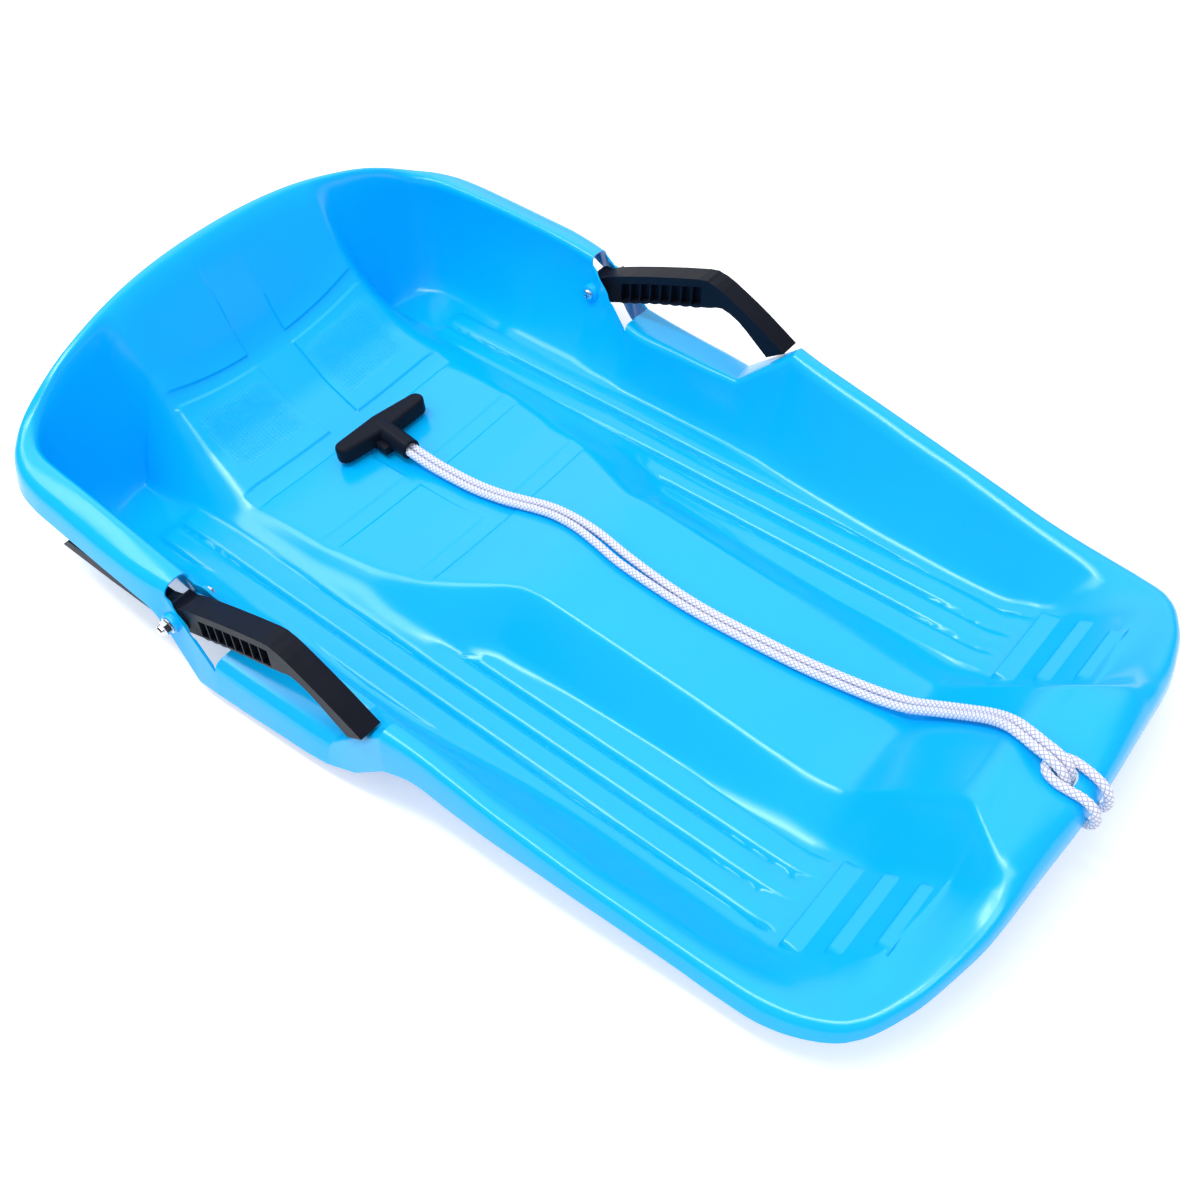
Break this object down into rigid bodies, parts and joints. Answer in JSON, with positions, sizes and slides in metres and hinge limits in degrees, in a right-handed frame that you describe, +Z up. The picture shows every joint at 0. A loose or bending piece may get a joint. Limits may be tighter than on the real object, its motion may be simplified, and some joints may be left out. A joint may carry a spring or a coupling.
{
  "type": "plastic snow sled",
  "caption": "Child's moulded plastic toboggan with a seat tub, ribbed leg channels, footrests, two lever brakes turning on bolts through the sides and a tow rope with a T-handle.",
  "frame": {"origin": "on the ground in the middle of the sled's length and width, without its rope", "axes": "+Z up, -Y towards the nose, +X to the rider's left"},
  "size_m": [0.4892, 0.7774, 0.1484],
  "materials": {
    "blue_plastic": "semi-gloss moulded polyethylene",
    "black_plastic": "satin moulded plastic",
    "zinc_steel": "bright zinc plated",
    "white_rope": "braided polyester cord"
  },
  "bodies": {
    "shell": {"sled_shell": "blue_plastic", "pivot_bolt_left": "zinc_steel", "pivot_bolt_right": "zinc_steel", "pivot_washer_left": "zinc_steel", "pivot_washer_right": "zinc_steel", "dome_nut_left": "zinc_steel", "dome_nut_right": "zinc_steel", "pull_handle": "black_plastic", "rope_knot": "white_rope", "tow_rope_left": "white_rope", "tow_rope_right": "white_rope", "tow_rope_hitch": "white_rope"},
    "lever_left": {"brake_lever_left": "black_plastic"},
    "lever_right": {"brake_lever_right": "black_plastic"}
  },
  "joints": [
    {"name": "brake_left_pivot", "type": "hinge", "parent": "shell", "child": "lever_left", "pos_m": [0.2185, 0.159, 0.058], "axis": [-1, 0, 0], "range_deg": [0, 34]},
    {"name": "brake_right_pivot", "type": "hinge", "parent": "shell", "child": "lever_right", "pos_m": [-0.2185, 0.159, 0.058], "axis": [-1, 0, 0], "range_deg": [0, 34]}
  ]
}
